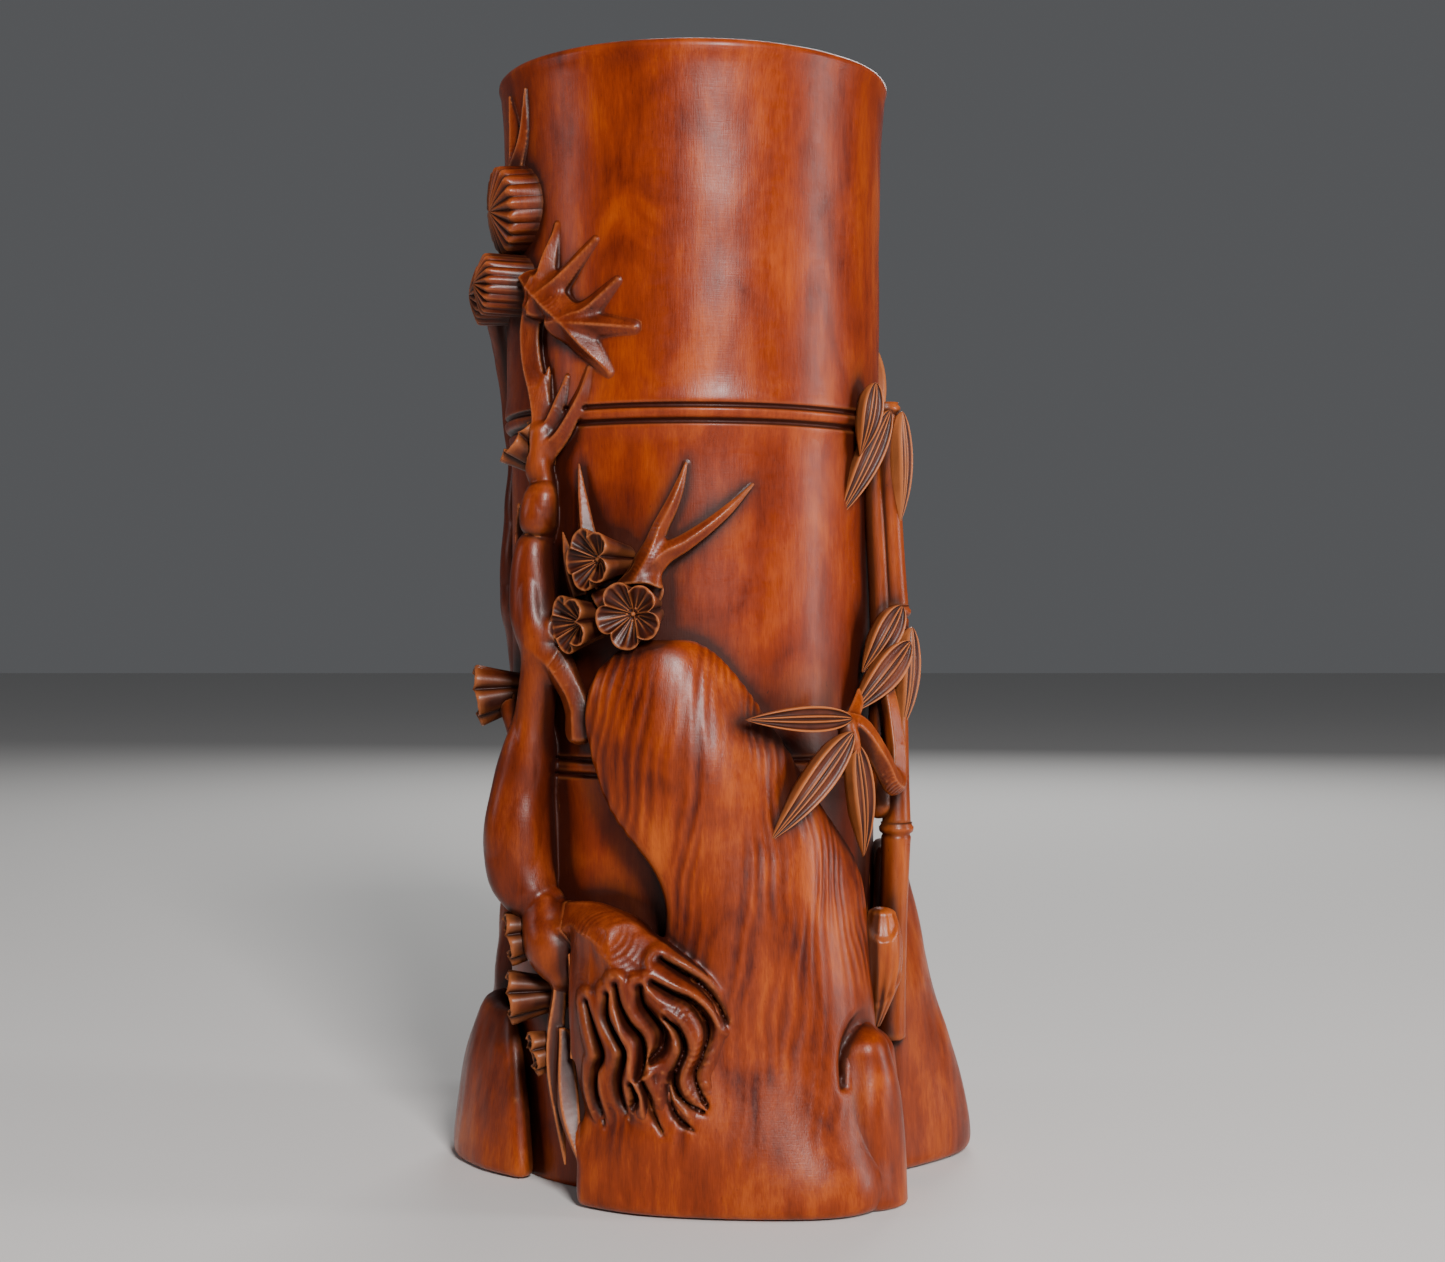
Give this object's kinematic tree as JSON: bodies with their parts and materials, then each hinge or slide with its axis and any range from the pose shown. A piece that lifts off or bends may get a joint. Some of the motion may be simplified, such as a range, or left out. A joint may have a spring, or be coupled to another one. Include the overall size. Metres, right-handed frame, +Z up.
{
  "type": "brush pot",
  "caption": "Hollow wooden brush pot carved as a bamboo culm among rocks, with plum, pine and bamboo in high relief.",
  "frame": {"origin": "the culm's axis in the plane that the pot rests on", "axes": "+Z up along the culm's axis, -Y towards the carved front, +X to the right seen from the front"},
  "size_m": [0.1276, 0.133, 0.26],
  "materials": {
    "culm_boxwood": "stained boxwood, waxed and polished to a satin gloss",
    "plate_boxwood": "stained boxwood, planed, unpolished",
    "rock_boxwood": "stained boxwood with long chisel flutes, polished",
    "blossom_boxwood": "stained boxwood, finely carved, satin",
    "pine_boxwood": "stained boxwood, finely carved, satin",
    "bamboo_boxwood": "stained boxwood, rubbed lighter, satin gloss",
    "leaf_boxwood": "stained boxwood, rubbed pale on its ridges, satin",
    "plum_boxwood": "stained boxwood with knife marks, polished"
  },
  "bodies": {
    "root": {"antler_twig": "plum_boxwood", "bamboo_shoot": "bamboo_boxwood", "blossom_front_left": "blossom_boxwood", "blossom_front_right": "blossom_boxwood", "blossom_front_upper": "blossom_boxwood", "blossom_rear_left": "blossom_boxwood", "blossom_rear_right": "blossom_boxwood", "blossom_ring": "blossom_boxwood", "blossom_root_lower": "blossom_boxwood", "blossom_root_middle": "blossom_boxwood", "blossom_root_upper": "blossom_boxwood", "blossom_side": "blossom_boxwood", "culm_wall": "culm_boxwood", "curled_twig": "bamboo_boxwood", "foot_plate": "plate_boxwood", "front_rock": "rock_boxwood", "ledge_rock": "rock_boxwood", "left_rock": "rock_boxwood", "middle_leaf_lower": "leaf_boxwood", "middle_leaf_outer": "leaf_boxwood", "middle_leaf_upper": "leaf_boxwood", "needle_fan_low": "pine_boxwood", "needle_fan_middle": "pine_boxwood", "needle_fan_rear": "pine_boxwood", "needle_fan_side": "pine_boxwood", "needle_fan_upper": "pine_boxwood", "pine_limb": "pine_boxwood", "plum_bough": "plum_boxwood", "plum_roots": "plum_boxwood", "plum_spike": "plum_boxwood", "plum_stub": "plum_boxwood", "plum_trunk": "plum_boxwood", "rear_leaf_high": "leaf_boxwood", "rear_leaf_left": "leaf_boxwood", "rear_leaf_middle": "leaf_boxwood", "rear_leaf_right": "leaf_boxwood", "rear_rock": "rock_boxwood", "rear_stalk_lower": "bamboo_boxwood", "rear_stalk_middle": "bamboo_boxwood", "rear_stalk_upper": "bamboo_boxwood", "rear_twig": "plum_boxwood", "right_rock": "rock_boxwood", "rim_twig": "plum_boxwood", "root_leaves": "plum_boxwood", "spray_leaf_down": "leaf_boxwood", "spray_leaf_left": "leaf_boxwood", "spray_leaf_low": "leaf_boxwood", "stalk_lower": "bamboo_boxwood", "stalk_middle": "bamboo_boxwood", "stalk_upper": "bamboo_boxwood", "thorn_spray": "plum_boxwood", "top_leaf_inner": "leaf_boxwood", "top_leaf_long": "leaf_boxwood", "top_leaf_outer": "leaf_boxwood", "upper_bough": "plum_boxwood"}
  },
  "joints": []
}
